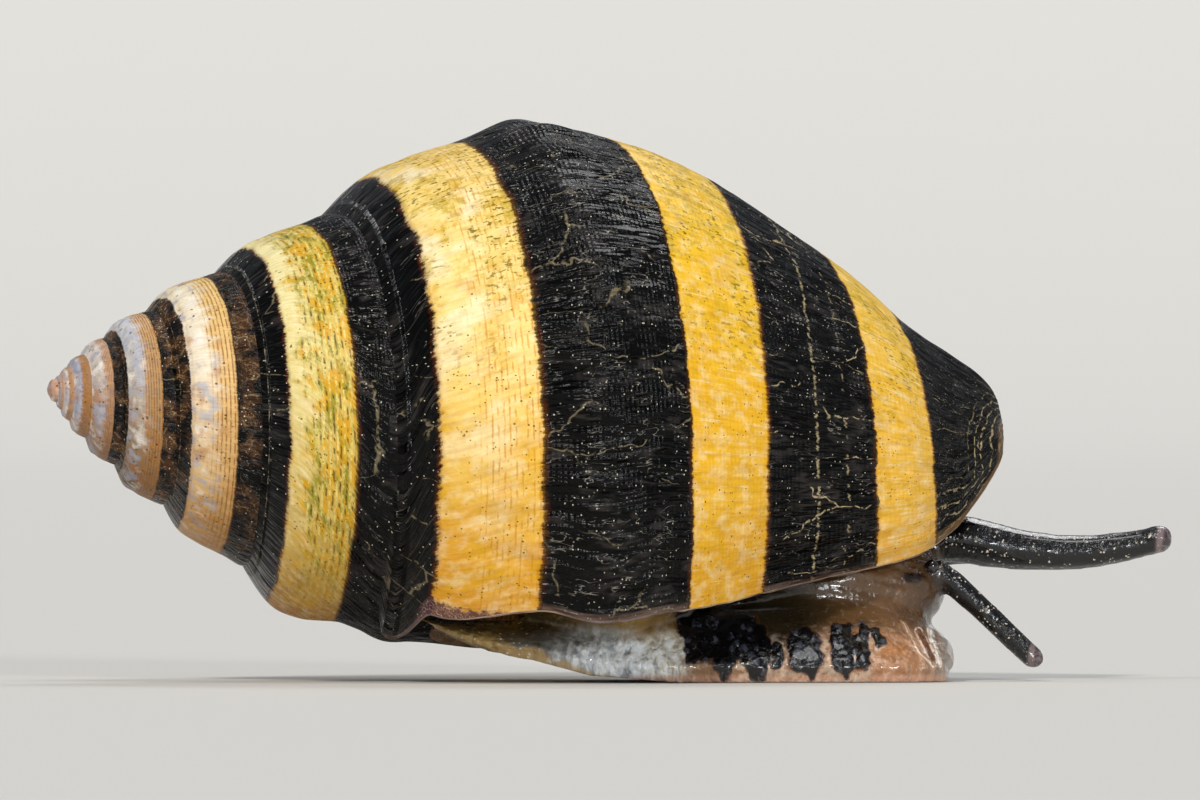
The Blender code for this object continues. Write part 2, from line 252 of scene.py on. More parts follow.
def dots(source, scale, size, share, sides="3D"):
    # round dots in some of the cells
    found = cells(source, scale, sides=sides)
    near = between(found["Distance"], size * 0.6, size, 1, 0)
    red = newNode("SeparateColor", found["Color"]).outputs[0]
    return product(near, maths("LESS_THAN", red, share))


def objectMm():
    # object coordinates in millimetres
    return scaled(newNode("TexCoord").outputs["Object"], (1000, 1000, 1000))


def attribute(name):
    return newNode("Attribute", attribute_name=name).outputs["Fac"]


def finishPaint(shader, colour, height, depth, rough, gloss):
    # height has a depth in mm; gloss holds the shader's other sockets
    relief = newNode("Bump")
    relief.inputs["Distance"].default_value = depth * mm
    feed(relief.inputs["Height"], height)
    feed(shader.inputs["Base Color"], colour)
    feed(shader.inputs["Normal"], relief.outputs[0])
    feed(shader.inputs["Roughness"], rough)
    for name, value in gloss.items():
        shader.inputs[name].default_value = value


# mesh helpers

def opened(mesh):
    bm = bmesh.new()
    bm.from_mesh(mesh)
    return bm


def stored(bm, mesh):
    bm.to_mesh(mesh)
    bm.free()
    return mesh


def readVectors(items, key):
    values = np.empty(len(items) * 3, np.float32)
    items.foreach_get(key, values)
    return values.reshape(-1, 3)


def unit(vectors):
    return vectors / (np.linalg.norm(vectors, axis=1)[:, None] + 1e-12)


def smooth(value):
    value = np.clip(value, 0, 1)
    return value * value * (3 - 2 * value)


def rise(value, start, length):
    return smooth((value - start) / length)


def patches(u, v, seed):
    # even noise from -1 to 1, a knot at each whole number
    around = 97
    knots = np.random.default_rng(seed).uniform(-1, 1, (around, around))
    i, j = np.floor(u).astype(int), np.floor(v).astype(int)
    a, b = smooth(u - i), smooth(v - j)
    low, high = (
        knots[i % around, row % around] * (1 - a) + knots[(i + 1) % around, row % around] * a
        for row in (j, j + 1)
    )
    return low * (1 - b) + high * b


def newObject(name, mesh):
    piece = bpy.data.objects.new(name, mesh)
    scene.collection.objects.link(piece)
    return piece


def rolledGrid(name, stepsA, stepsB, place):
    # a flat grid whose points go where place(a, b) says, a and b from 0 to 1
    bm = bmesh.new()
    bm.loops.layers.uv.new("OFBake")
    bmesh.ops.create_grid(bm, x_segments=stepsA, y_segments=stepsB, size=0.5, calc_uvs=True)
    mesh = stored(bm, bpy.data.meshes.new(name))
    flat = readVectors(mesh.vertices, "co")
    points, values = place(flat[:, 0] + 0.5, flat[:, 1] + 0.5)
    mesh.vertices.foreach_set("co", points.astype(np.float32).ravel())
    corners = np.empty(len(mesh.loops), np.int32)
    mesh.loops.foreach_get("vertex_index", corners)
    for key, value in values.items():
        layer = mesh.attributes.new(key, "FLOAT", "CORNER")
        layer.data.foreach_set("value", value[corners].astype(np.float32))
    return newObject(name, mesh)


def finishPiece(piece, material, replaced, outward=None):
    # merge the seams, turn the faces outwards, then hand the piece to the frame
    bm = opened(piece.data)
    bmesh.ops.remove_doubles(bm, verts=bm.verts, dist=1e-7)
    bmesh.ops.dissolve_degenerate(bm, edges=bm.edges, dist=1e-8)
    if outward is not None:
        bm.normal_update()
        some = list(bm.faces)[::37]
        if sum(face.normal.dot(outward(face.calc_center_median())) for face in some) < 0:
            bmesh.ops.reverse_faces(bm, faces=bm.faces)
    stored(bm, piece.data)
    piece.data.shade_smooth()
    piece.data.materials.clear()
    piece.data.materials.append(material)
    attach(piece, "root")
    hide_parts(*replaced)
    print(piece.name, "made,", len(piece.data.polygons), "faces")


# the shell's form

shell = dict(
    growth=1.523,                  # how much larger each turn is than the last
    dip=4.7,                       # degrees its axis points down
    yaw=12.7,                      # and to the snail's left
    apex=(0.068, 4.116, 5.500),    # mm from the lowest corner of the frame's box
    lead=0.92,                     # mm that the early turns are pushed back
    leadFade=1.15,
    nub=0.13,                      # and the first turn, once more
    firstTurn=-8.4,                # the turns close to a point here
    tipTurn=-2.656,                # where the worn tip is joined
    bodyTurn=-0.656,               # where the last turn starts
    lipTurn=0.344,
    hidden=0.18,                   # turns of the wall seen inside the mouth
    rowsPerTurn=480,
    profile=(                      # mm along the axis, mm from it
        (6.013, 3.72), (6.22, 4.00), (6.60, 4.43), (7.43, 4.92), (8.30, 5.28),
        (9.1578, 5.6656), (10.20, 5.68), (11.30, 5.52), (12.60, 5.14), (14.10, 4.40),
        (15.72, 3.49), (16.97, 2.62), (18.00, 2.10), (19.08, 1.58),
    ),
    lipEdge=0.12,                  # thickness in mm at the mouth's edge
    wall=0.34,                     # and inside
    # how much the front narrows, flattens, draws back and curls in; from where, over what length
    narrow=0.42, narrowFrom=(13.0, 5.0),
    flat=0.11, flatFrom=(6.8, 2.2), flatTurns=(-0.74, 0.18), flatEndTurns=(0.2, 0.2),
    short=0.6, shortFrom=(15.0, 4.0),
    neckTurns=0.45,                # over which the last turn gets its narrow front
    curl=0.36, curlFrom=18.4,
    holdFrom=(15.8, 3.2),          # the front end grows less than the shoulder
    # the mouth's edge, in turns: how it leans near the suture, bows, and rounds its corner
    callus=((0.055, 0.6), (0.035, 2.6)), bow=0.009, bowFrom=(8.5, 2.0),
    corner=0.15, cornerFrom=17.4,
)
relief = dict(                     # heights in mm on the last turn
    uneven=0.034,
    nodules=0.11, noduleRow=9.5, noduleWidth=0.50, nodulesPerTurn=24,
    knobs=0.13, knobRow=6.75, knobWidth=0.34, knobsPerTurn=26,
    bulge=0.26,                    # of the early turns
    ribs=0.016, ribsPerTurn=53,
    wrinkles=0.034,                # on the dark bands
    wrinkleRows=((8.3, 10.7), (12.7, 15.0)),
)

dip, yaw = math.radians(shell["dip"]), math.radians(shell["yaw"])
along = np.array((math.cos(dip) * math.cos(yaw), math.sin(yaw), -math.sin(dip) * math.cos(yaw)))
up = np.array((0, 0, 1)) - along[2] * along
up = up / np.linalg.norm(up)
right = np.cross(along, up)
apex = np.array(cadLow) / mm + np.array(shell["apex"])
knots = np.array(shell["profile"])
suture, nextSuture, lastPoint = knots[0, 0], knots[5, 0], knots[-1, 0]


def profileRadius(distance):
    slopes = np.gradient(knots[:, 1], knots[:, 0])
    k = np.clip(np.searchsorted(knots[:, 0], distance, "right") - 1, 0, len(knots) - 2)
    span = knots[k + 1, 0] - knots[k, 0]
    t = (distance - knots[k, 0]) / span
    return (
        (1 + 2 * t) * (1 - t) ** 2 * knots[k, 1] + t * (1 - t) ** 2 * span * slopes[k]
        + t * t * (3 - 2 * t) * knots[k + 1, 1] + t * t * (t - 1) * span * slopes[k + 1]
    )


def quarterRound(distance, start):
    # from 0 at the start to 1 at the profile's end, as the side of a circle turns
    part = np.clip(distance - start, 0, None) / (lastPoint - start)
    return 1 - np.sqrt(np.clip(1 - part * part, 0, None))


def lipShift(distance):
    # how far the mouth's edge leaves a straight line, in turns
    callus = sum(lean * (1 - rise(distance, suture, length)) for lean, length in shell["callus"])
    rounded = shell["corner"] * quarterRound(distance, shell["cornerFrom"])
    return callus - shell["bow"] * rise(distance, *shell["bowFrom"]) - rounded


def realTurn(row, distance):
    # rows bend to follow the mouth's edge, and round its end at the suture
    byLip = smooth(1 - (shell["lipTurn"] - row) / 0.3)
    bySuture = smooth(1 - np.abs(row - shell["bodyTurn"]) / 0.3)
    apart = smooth(np.abs(distance - nextSuture) / 2.6)
    turn = row + byLip * lipShift(distance)
    return turn + bySuture * (1 - apart) * lipShift(np.array(suture))


def uneven(u, v, seed):
    fine = patches(1.9 * (0.6 * u - 0.8 * v) + 7, 1.9 * (0.6 * v + 0.8 * u), seed + 40)
    return 0.65 * patches(0.8 * u + 0.6 * v, 0.8 * v - 0.6 * u, seed) + 0.35 * fine


def reliefHeight(turn, distance):
    early = rise(-turn, 1.2, 1.6)
    height = relief["uneven"] * uneven(turn * 20, distance * 0.8, 3)
    height += relief["uneven"] * 0.5 * uneven(turn * 60, distance * 2.2, 4) * (1 + early)
    strength = 0.75 + 0.5 * patches(turn * 24 + 0.5, turn * 0, 5)
    ripple = (0.5 + 0.5 * np.cos(2 * np.pi * relief["nodulesPerTurn"] * turn)) ** 1.3
    row = np.exp(-(((distance - relief["noduleRow"]) / relief["noduleWidth"]) ** 2))
    height += relief["nodules"] * strength * ripple * row * (1 - 0.7 * rise(turn, 0.16, 0.1))
    phase = 2 * np.pi * relief["knobsPerTurn"] * turn + 0.6 * patches(turn * 9, turn * 0, 7)
    knob = 0.5 + 0.5 * np.cos(phase)
    row = np.exp(-(((distance - relief["knobRow"]) / relief["knobWidth"]) ** 2))
    height += relief["knobs"] * knob * row * (0.25 + 0.75 * early) * (1 - rise(turn, -0.7, 0.3))
    wavy = turn + 0.008 * patches(turn * 9, distance, 6)
    rib = np.sin(2 * np.pi * relief["ribsPerTurn"] * wavy)
    strength = 0.5 + 0.5 * patches(turn * 16, distance * 0.9, 8)
    height += relief["ribs"] * rib * rise(distance, 6.6, 0.6) * strength
    dark = sum(
        rise(distance, a, 0.3) * (1 - rise(distance, b, 0.3)) for a, b in relief["wrinkleRows"]
    )
    height += relief["wrinkles"] * dark * uneven(turn * 118, distance * 0.7, 21)
    across = np.clip((distance - suture) / (nextSuture - suture), 0, 1)
    bulge = relief["bulge"] * np.sin(np.pi * across) * (0.15 + 0.85 * early)
    height += bulge * (turn < shell["bodyTurn"])
    ends = rise(distance, suture, 0.14)
    strip = 1 - rise(distance, nextSuture - 0.16, 0.16)
    return height * ends * np.where(turn < shell["bodyTurn"], strip, 1)


def frontEnd(row):
    # where the profile stops; the part hidden in the mouth is shorter
    return lastPoint - 2.6 * (1 - rise(row, shell["bodyTurn"] - 0.02, 0.3))


def shellPoints(row, distance, plain=False):
    turn = realTurn(row, distance)
    hold = (rise(distance, nextSuture, 4.4) + rise(distance, *shell["holdFrom"])) / 2
    growth = shell["growth"] ** (turn * (1 - hold))
    neck = rise(-turn, 0, shell["neckTurns"])
    narrow = shell["narrow"] * rise(distance, *shell["narrowFrom"]) * neck
    flat = shell["flat"] * rise(distance, *shell["flatFrom"])
    flat = flat * rise(turn, *shell["flatTurns"]) * rise(-turn, *shell["flatEndTurns"])
    short = shell["short"] * rise(distance, *shell["shortFrom"]) * neck
    curled = shell["curl"] * quarterRound(distance, shell["curlFrom"])
    radius = (profileRadius(distance) - curled) * growth * (1 - narrow) * (1 - flat)
    if not plain:
        radius = radius + reliefHeight(turn, distance) * growth
    place = distance * growth - short
    nub = row - shell["firstTurn"] + (distance - suture) / (nextSuture - suture)
    place = place - shell["lead"] * (1 - np.exp(-place / shell["leadFade"]))
    place = place - shell["nub"] * (1 - rise(nub, 0.2, 1.8))
    radius = radius * np.where(row < shell["firstTurn"] + 2, rise(nub, 0, 1), 1)
    angle = (2 * np.pi * turn)[:, None]
    out = np.cos(angle) * up + np.sin(angle) * right
    return (apex + place[:, None] * along + radius[:, None] * out) * mm


def shellNormals(row, distance):
    # the way out of the shell, the way it turns and the way along its profile
    a, b = (
        shellPoints(row + s, distance + t, True) - shellPoints(row - s, distance - t, True)
        for s, t in ((1e-4, 0), (0, 0.01))
    )
    return unit(np.cross(a, b)), unit(a), unit(b)


def fromAxis(point):
    offset = np.array(point) / mm - apex
    return Vector(offset - np.dot(offset, along) * along)


def coiledStrip(name, first, last, perTurn, columns):
    # whorls between two turns, each from its suture to the next
    rows = round((last - first) * perTurn)

    def place(a, b):
        row = first + np.round(a * rows) / perTurn
        distance = suture + np.round(b * columns) / columns * (nextSuture - suture)
        points = shellPoints(row, distance)
        shared = b > 1 - 0.5 / columns   # the next whorl's own suture
        points[shared] = shellPoints(row[shared] + 1, np.full(shared.sum(), suture))
        return points, dict(turn=realTurn(row, distance), along=distance, rows=row)

    return rolledGrid(name, rows, columns, place)


def closeTip(piece):
    bm = opened(piece.data)
    bmesh.ops.remove_doubles(bm, verts=bm.verts, dist=1e-7)
    middle = Vector(apex * mm)
    hole = [e for e in bm.edges if e.is_boundary and (e.verts[0].co - middle).length < 0.4 * mm]
    filled = bmesh.ops.holes_fill(bm, edges=hole, sides=0)
    bmesh.ops.triangulate(bm, faces=filled["faces"])
    stored(bm, piece.data)


def bodyWhorl(name, columns=(36, 108)):
    first = shell["bodyTurn"] - shell["hidden"]
    rows = round((shell["lipTurn"] - first) * shell["rowsPerTurn"])
    distances = np.concatenate([
        np.linspace(suture, nextSuture, columns[0] + 1),
        np.linspace(nextSuture, lastPoint, columns[1] + 1)[1:],
    ])

    full = 12   # the rows stay level up to here, and shorten with the front end past it

    def place(a, b):
        row = shell["lipTurn"] - (rows - np.round(a * rows)) / shell["rowsPerTurn"]
        distance = distances[np.round(b * (len(distances) - 1)).astype(int)]
        past = np.clip(distance - full, 0, None) / (lastPoint - full)
        distance = np.where(distance > full, full + past * (frontEnd(row) - full), distance)
        points = shellPoints(row, distance)
        shared = (row < shell["bodyTurn"] - 1e-6) & (distance <= nextSuture + 1e-6)
        points[shared] = shellPoints(row[shared] + 1, np.full(shared.sum(), suture))
        return points, dict(turn=realTurn(row, distance), along=distance, rows=row)

    piece = rolledGrid(name, rows, len(distances) - 1, place)
    # what lies under the whorl before goes
    bm = opened(piece.data)
    rowLayer, lengthLayer = (bm.loops.layers.float[key] for key in ("rows", "along"))
    ends = shell["bodyTurn"] + 1e-4, nextSuture + 1e-4
    spare = [
        face for face in bm.faces
        if all(c[rowLayer] < ends[0] and c[lengthLayer] < ends[1] for c in face.loops)
    ]
    bmesh.ops.delete(bm, geom=spare, context="FACES")
    stored(bm, piece.data)
    return piece


def mouthEdge(name, steps=(230, 130), across=(10, 22)):
    # the rim and inner wall, along the mouth's edge and then round the front end
    rim, inner = across

    def place(a, b):
        p = np.round(a * sum(steps))
        q = np.round(b * sum(across))
        onLip = p <= steps[0]
        distance = np.where(onLip, suture + (lastPoint - suture) * p / steps[0], lastPoint)
        back = np.clip(p - steps[0], 0, None) / steps[1]
        row = shell["lipTurn"] - back * (shell["lipTurn"] - shell["bodyTurn"])
        distance = np.where(onLip, distance, frontEnd(row))
        front = rise(p, steps[0] - 16, 32)   # 0 on the lip, 1 round the front end
        normal, byTurn, byLength = shellNormals(row, distance)
        leave = unit(byTurn * (1 - front)[:, None] + byLength * front[:, None])
        s = np.clip(q / rim, 0, 1)
        depth = np.clip((q - rim) / inner, 0, 1)
        thick = shell["lipEdge"] * (1 + 0.25 * patches(p / 7, q * 0, 8))
        edge = shellPoints(row, distance)
        bulge = (0.06 + 0.02 * patches(p / 3, s * 3, 9)) * np.sin(np.pi * s)
        inwards = thick * (1 - np.cos(np.pi * s)) / 2
        points = edge + (leave * bulge[:, None] - normal * inwards[:, None]) * mm
        inside = q > rim
        rowIn = row - (1 - front) * depth * 0.2
        distanceIn = distance - front * depth * 1.5
        wall = thick + (shell["wall"] - thick) * rise(depth, 0, 0.5)
        normalIn, _, _ = shellNormals(rowIn, distanceIn)
        deep = shellPoints(rowIn, distanceIn, plain=True) - normalIn * wall[:, None] * mm
        level = edge - shellPoints(row, distance, plain=True)   # carries the relief inwards
        deep += level * (1 - rise(depth, 0, 0.3))[:, None]
        points[inside] = deep[inside]
        return points, dict(edge=p / 10, across=s + depth, along=distance)

    return rolledGrid(name, sum(steps), sum(across), place)


# the shell's colours

bands = ((6.60, 8.22), (10.90, 12.80), (15.10, 16.50))   # pale bands, mm along the profile
shellTints = dict(
    pale=(   # ground of the pale bands down the turns, from the tip to the lip, darkened as painted shade where each turn faces down (turns -3.4, -2.4, -1.5, -0.5)
        (-8.4, (206, 172, 154)), (-6.6, (160, 148, 152)), (-5.6, (204, 190, 182)),
        (-4.8, (158, 158, 172)), (-4.3, (206, 190, 174)), (-4.0, (216, 214, 210)),
        (-3.7, (180, 158, 140)), (-3.4, (108, 74, 44)), (-3.0, (208, 210, 214)),
        (-2.8, (196, 188, 178)), (-2.62, (140, 112, 78)), (-2.4, (84, 56, 28)),
        (-2.05, (232, 222, 190)), (-1.8, (236, 222, 196)), (-1.65, (222, 184, 126)),
        (-1.5, (176, 118, 48)), (-1.08, (242, 230, 170)), (-0.92, (240, 230, 172)),
        (-0.78, (232, 216, 146)), (-0.62, (212, 176, 90)), (-0.5, (168, 108, 18)),
        (-0.1, (238, 190, 96)), (0.04, (248, 216, 126)), (0.14, (250, 222, 140)),
        (0.22, (248, 214, 126)), (0.29, (236, 186, 74)), (0.344, (226, 160, 46)),
    ),
    gold=(   # the same for the later bands
        (-0.7, (214, 152, 30)), (-0.05, (236, 184, 62)), (0.06, (246, 202, 70)),
        (0.14, (240, 192, 48)), (0.22, (238, 182, 44)), (0.28, (238, 182, 46)),
        (0.344, (228, 162, 40)),
    ),
    warm=(   # and for the warm half of the first band, also darkened as painted shade on the turns' undersides
        (-8.4, (206, 176, 154)), (-5.5, (184, 150, 120)), (-4.7, (158, 116, 72)),
        (-4.0, (206, 172, 142)), (-3.4, (120, 76, 38)), (-3.0, (208, 172, 124)),
        (-2.4, (108, 68, 30)), (-2.0, (228, 196, 124)), (-1.75, (226, 186, 122)),
        (-1.5, (164, 112, 54)), (-1.0, (196, 186, 70)), (-0.85, (212, 180, 60)),
        (-0.7, (222, 166, 50)), (-0.6, (206, 158, 54)),
    ),
    ochre=(222, 168, 26), cream=(253, 238, 190), olive=(88, 76, 6), algae=(140, 132, 18),
    pink=(240, 206, 170), brown=(92, 38, 10), black=(4, 4, 4), crestHighlight=(52, 48, 46),
    glint=(168, 160, 146), worn=(78, 50, 28), net=(150, 124, 92), fleck=(226, 216, 190),
    thread=(190, 172, 132), lipBrown=(120, 98, 86), amber=(255, 206, 104), moss=(206, 186, 84),
    milk=(254, 242, 206), spiral=(206, 136, 40), honey=(218, 164, 34), deepGreen=(82, 68, 8),
    straw=(240, 226, 140), film=(186, 156, 34), halo=(214, 184, 40), dab=(120, 96, 0),
    oldSpiral=(134, 84, 34), blueGrey=(168, 174, 190), chalk=(240, 236, 226),
    lilac=(112, 108, 128), rust=(176, 112, 48), grime=(56, 34, 18), scratch=(255, 240, 186),
    shade=(150, 96, 40), curl=(184, 142, 92), margin=(160, 92, 30), chip=(82, 54, 58),
    crack=(198, 160, 148), leaf=(206, 186, 140), rim=(150, 116, 76),
)


def shellPaint():
    material, shader = startPaint("shellPaint")
    hue = shellTints
    turn, length, rows = (attribute(name) for name in ("turn", "along", "rows"))
    place = objectMm()
    size = maths("POWER", shell["growth"], turn)
    spot = vector(product(size, 83), product(length, size))   # mm on the surface
    flat = vector(rows, length)

    def acrossRows(perTurn, perMm, detail=2, roughness=0.5):
        # noise in rows that follow the growth lines
        stretched = scaled(flat, (perTurn, perMm, 1), (perTurn * 3.7, perMm * 5.3 + perTurn, 0))
        return grain(stretched, 1, detail, roughness, sides="2D")

    def streaks(low, high, *rows):
        # the streaks of that noise which rise from low to high
        return between(acrossRows(*rows), low, high)

    def surfaceDots(scale, size, share, shift=0):
        return dots(scaled(spot, (1, 1, 1), (shift, shift, 0)), scale, size, share, "2D")

    def edges(source, scale, low, high):
        # thin lines between flat cells
        return between(cells(source, scale, "DISTANCE_TO_EDGE", "2D")["Distance"], low, high, 1, 0)

    fine = acrossRows(420, 1.4, 2, 0.6)
    wide = grain(place, 0.8, 2, 0.55)
    cloudy = grain(place, 3, 2, 0.6)
    patch = grain(place, 2.4, 3, 0.6)
    tiny = grain(place, 9, 2, 0.6)
    early = between(turn, -1.3, -2.6)
    young = between(turn, -2, -0.9)

    # where the pale bands lie, with uneven edges
    wobble = total(
        product(fine, 0.10), product(acrossRows(26, 0), 0.14), product(tiny, 0.08), -0.16
    )
    level = total(length, wobble)
    low, high = bands[0]
    earliest = between(turn, -3, -3.6)
    lower = total(level, product(early, 0.32), product(earliest, 0.4))
    upper = total(level, product(early, -0.14))
    firstBand = product(
        band(lower, low, high + 0.72, 0.05, 0.07), band(upper, low - 1, high, 0.05, 0.07)
    )
    paleMask = larger(firstBand, between(turn, -4.35, -4.6))
    fringe = None
    for low, high in bands:
        around = total(
            product(band(level, low - 0.05, low + 0.05, 0.05), 0.6),
            band(level, high - 0.05, high + 0.05, 0.08, 0.11)
        )
        fringe = around if fringe is None else larger(fringe, around)
        if low > nextSuture:
            paleMask = larger(paleMask, band(level, low, high, 0.05, 0.07))
    fringe = product(fringe, between(turn, -2.4, -1.2))
    darkMask = opposite(paleMask)

    # pale bands: their ground with painted shade on each turn's underside, then stains, painted
    # highlight streaks, dotted threads and specks
    shifted = total(turn, product(wide, 0.12), -0.06)
    ground = ramp(shifted, -8.4, 0.4, hue["pale"])
    gold = ramp(shifted, -0.8, 0.4, hue["gold"])
    across = total(length, product(early, 0.16), product(acrossRows(44, 0.8, 4, 0.6), 1.5), -0.75)
    farSide = between(across, 7.15, 7.85)   # the half of the first band next to the later turn
    warm = product(farSide, between(turn, -0.6, -1))
    # the warm ramp carries the same painted shade on the turns' undersides
    ground = over(ground, ramp(shifted, -8.4, -0.5, hue["warm"]), warm)
    pale = blend(between(length, 8.8, 10.4), ground, gold)
    algaeZone = product(band(turn, -1.02, -0.60, 0.14, 0.16), between(across, 6.85, 7.25))
    notAlgae = maths("SUBTRACT", young, algaeZone)
    stains = acrossRows(120, 4.2, 3, 0.66)
    clouds = streaks(0.42, 0.60, 34, 1, 2)
    golden = product(between(stains, 0.40, 0.66), clouds, between(turn, -0.9, -0.5, 0.25, 0.7))
    # painted highlight: whiter cream streaks on the first band where the last turn faces up, near
    # the suture
    topHighlight = product(
        streaks(0.50, 0.66, 30, 0.8, 2), band(length, 6.5, 7.7, 0.5), band(turn, -0.3, 0.25, 0.3),
        0.7
    )
    finer = product(
        maths("SINE", product(total(length, product(fine, 0.02)), 68)), between(length, 6.4, 7.6)
    )
    coarse = maths("SINE", product(total(length, product(fine, 0.02)), 38))
    threadSide = band(length, 7.2, 8.5, 0.4)
    threadLine = blend(early, finer, coarse)
    dashes = streaks(0.44, 0.60, 150, 9)
    threads = product(
        between(threadLine, 0.2, 0.9), threadSide, larger(dashes, product(early, 0.9)), 0.62
    )
    faint = product(between(finer, 0.3, 0.9), dashes, young, 0.22)
    algaeSpots = streaks(0.46, 0.60, 40, 2.6, 4, 0.7)
    goldSpots = product(algaeZone, streaks(0.48, 0.60, 48, 3, 3, 0.6), 0.85)
    deep = streaks(0.47, 0.60, 140, 3, 2, 0.7)
    bright = product(between(coarse, -0.3, -0.9), between(tiny, 0.46, 0.58), algaeZone, 0.6)
    inRows = product(streaks(0.54, 0.62, 95, 0.6, 1), young)
    specks = larger(surfaceDots(4.2, 0.11, 0.07, 3), product(surfaceDots(9, 0.19, 0.20), inRows))
    specks = larger(specks, product(surfaceDots(12, 0.24, 0.20), between(patch, 0.52, 0.62)))
    film = product(
        band(turn, -0.02, 0.17, 0.12), streaks(0.47, 0.62, 90, 2.2, 4, 0.66),
        between(patch, 0.38, 0.56), 0.7
    )
    dabZone = product(streaks(0.44, 0.60, 24, 1.1, 2), young, band(turn, -0.06, 0.20, 0.14))
    dabs = product(streaks(0.59, 0.65, 420, 7, 2), dabZone)
    older = between(turn, -1.35, -1.7)
    blueGrey = product(between(cloudy, 0.50, 0.36), older, opposite(farSide))
    white = product(between(cloudy, 0.52, 0.66), older, opposite(farSide))
    greySpots = product(between(tiny, 0.55, 0.68), between(turn, -2.3, -3))
    rust = product(between(patch, 0.52, 0.70), older)
    grime = larger(
        surfaceDots(4.7, 0.14, 0.08, 7),
        product(surfaceDots(9, 0.22, 0.25, 5), between(patch, 0.48, 0.60))
    )
    grime = product(grime, older)
    scratch = acrossRows(300, 0.35, 3, 0.7)
    scratch = product(
        between(scratch, 0.60, 0.68), between(patch, 0.44, 0.58), between(length, 8.8, 10.4), 0.45
    )
    # the layers, from the ground up
    pale = layered(pale, hue,
        ("amber", between(length, 14.6, 15.6), 0.3),
        ("moss", algaeZone, 0.45),
        ("ochre", golden, young),
        ("cream", streaks(0.42, 0.74, 130, 3.4, 3, 0.6), notAlgae, 0.38),
        ("pink", streaks(0.58, 0.74, 64, 1, 3), young, 0.18),
        ("milk", topHighlight),
        ("spiral", threads),
        ("ochre", faint),
        ("algae", algaeZone, algaeSpots, 0.8),
        ("honey", goldSpots),
        ("deepGreen", algaeZone, deep, between(coarse, 0.3, 0.95), 0.8),
        ("straw", bright),
        ("olive", specks, 0.85),
        ("film", film),
        ("halo", dabZone, 0.16),
        ("dab", dabs, 0.85),
        ("oldSpiral", older, between(coarse, 0.1, 0.8), farSide, between(tiny, 0.34, 0.50), 0.7),
        ("blueGrey", blueGrey, 0.65),
        ("chalk", white, 0.6),
        ("lilac", greySpots, 0.45),
        ("rust", rust, 0.5),
        ("grime", grime, 0.8),
        ("scratch", scratch),
    )
    pale = over(pale, hue["shade"], between(fine, 0.3, 0.8), 0.22, mode="MULTIPLY")

    # dark bands: painted highlights along the wrinkle crests and thin ridges, brown nets on the
    # early turns, pale flecks and fine branching lines
    wrinkle = acrossRows(78, 0.55, 3, 0.6)
    # pale grey painted along the wrinkle crests as a painted highlight on the black
    crestHighlight = between(maths("ABSOLUTE", total(wrinkle, -0.5)), 0, 0.07, 1, 0)
    dark = over(hue["black"], hue["crestHighlight"], crestHighlight, streaks(0.44, 0.60, 40, 1.6, 2), 0.7)
    # thin bright ridge lines: painted glints, also raised slightly in the relief
    glintRidge = between(
        maths("ABSOLUTE", total(acrossRows(92, 0.75, 3, 0.62), -0.53)), 0, 0.012, 1, 0
    )
    glintRidge = product(
        glintRidge, streaks(0.52, 0.62, 60, 2.4, 2, 0.6), between(length, 6.5, 7.5, 0.4, 1)
    )
    wornMask = product(between(turn, -1, -2.2), between(patch, 0.40, 0.60))
    net = edges(scaled(spot, (1, 0.8, 1)), 4.6, 0, 0.10)
    curls = band(cells(pushed(spot, tiny), 3.4, sides="2D")["Distance"], 0.26, 0.31, 0.05)
    flecks = larger(
        dots(scaled(spot, (1, 1.6, 1)), 6, 0.12, 0.09, "2D"),
        product(surfaceDots(13, 0.22, 0.10), between(patch, 0.50, 0.62))
    )
    warp = newNode("TexNoise", spot, 0, 1.6, 2, noise_dimensions="2D").outputs["Color"]
    bent = vectorMaths("MULTIPLY_ADD", warp, (0.5, 0.5, 0.5), spot)[0]
    branch = edges(scaled(bent, (1, 0.5, 1)), 0.8, 0.004, 0.016)
    where = product(
        between(wide, 0.49, 0.55), between(length, 9.6, 13.4, 0.35, 1), between(tiny, 0.38, 0.52)
    )
    branch = product(branch, where)
    wander = total(level, product(acrossRows(9, 0), 0.35), -0.17)
    lines = total(
        product(
            band(total(length, product(tiny, 0.05)), 6.175, 6.185, 0.02),
            streaks(0.46, 0.58, 90, 0, 5, 0.7), between(turn, -0.35, -0.6), 0.7
        ),
        product(band(wander, 13.88, 13.92, 0.03), streaks(0.42, 0.56, 170, 0), 0.8),
        product(band(wander, 14.50, 14.53, 0.03), streaks(0.50, 0.60, 120, 0), 0.6),
    )
    dark = layered(dark, hue,
        ("glint", glintRidge, 0.6),
        ("worn", wornMask, 0.85),
        ("net", net, wornMask, between(tiny, 0.40, 0.60), 0.8),
        ("curl", curls, wornMask, between(patch, 0.44, 0.58), 0.8),
        ("fleck", flecks, 0.75),
        ("thread", branch, 0.85),
        ("thread", maths("MINIMUM", lines, 1)),
        ("brown", fringe, between(patch, 0.35, 0.6), 0.9),
    )

